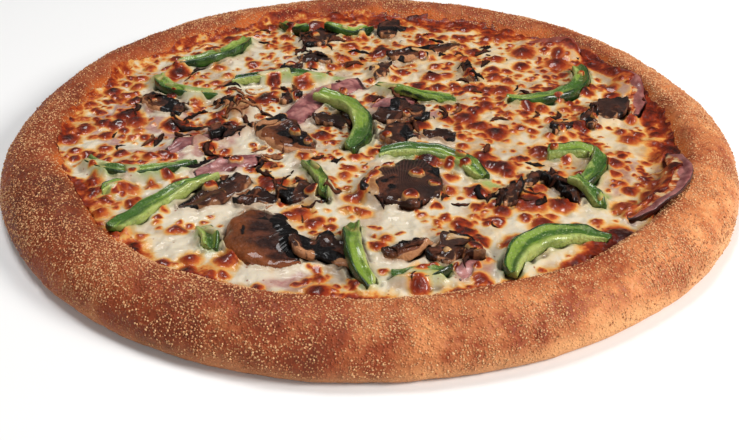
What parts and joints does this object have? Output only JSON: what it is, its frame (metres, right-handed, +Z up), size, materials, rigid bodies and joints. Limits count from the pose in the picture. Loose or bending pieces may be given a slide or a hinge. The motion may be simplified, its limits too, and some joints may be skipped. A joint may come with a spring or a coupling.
{
  "type": "supreme pizza",
  "caption": "Whole round pizza with a thick risen crust, melted cheese, green pepper strips, mushroom slices and ham flaps.",
  "frame": {"origin": "centre of the round base, on the surface that the pizza lies on", "axes": "+Z up through the middle of the pizza, +Y away from the picture's camera, +X to its right"},
  "size_m": [0.35, 0.35, 0.0245],
  "materials": {
    "crust": "baked dough, reddish brown, speckled with pale cornmeal",
    "cheese": "melted cheese, cream, with glossy reddish brown blisters",
    "ham": "cooked ham, pink, darker at its edge",
    "mushroom": "roasted mushroom, brown to black, moist",
    "pepper": "green pepper, glossy skin and paler flesh"
  },
  "bodies": {
    "root": {"cheese": "cheese", "crust": "crust", "ham_01": "ham", "ham_02": "ham", "ham_03": "ham", "ham_04": "ham", "ham_05": "ham", "ham_06": "ham", "ham_07": "ham", "ham_08": "ham", "mushroom_01": "mushroom", "mushroom_02": "mushroom", "mushroom_03": "mushroom", "mushroom_04": "mushroom", "mushroom_05": "mushroom", "mushroom_06": "mushroom", "mushroom_07": "mushroom", "mushroom_08": "mushroom", "mushroom_09": "mushroom", "mushroom_10": "mushroom", "mushroom_11": "mushroom", "mushroom_12": "mushroom", "mushroom_13": "mushroom", "mushroom_14": "mushroom", "mushroom_15": "mushroom", "mushroom_16": "mushroom", "mushroom_17": "mushroom", "mushroom_18": "mushroom", "mushroom_19": "mushroom", "mushroom_20": "mushroom", "mushroom_21": "mushroom", "mushroom_22": "mushroom", "mushroom_23": "mushroom", "mushroom_24": "mushroom", "mushroom_25": "mushroom", "mushroom_26": "mushroom", "mushroom_27": "mushroom", "mushroom_28": "mushroom", "mushroom_29": "mushroom", "mushroom_30": "mushroom", "pepper_01": "pepper", "pepper_02": "pepper", "pepper_03": "pepper", "pepper_04": "pepper", "pepper_05": "pepper", "pepper_06": "pepper", "pepper_07": "pepper", "pepper_08": "pepper", "pepper_09": "pepper", "pepper_10": "pepper", "pepper_11": "pepper", "pepper_12": "pepper", "pepper_13": "pepper", "pepper_14": "pepper", "pepper_15": "pepper", "pepper_16": "pepper", "pepper_17": "pepper", "pepper_18": "pepper", "pepper_19": "pepper", "pepper_20": "pepper"}
  },
  "joints": []
}
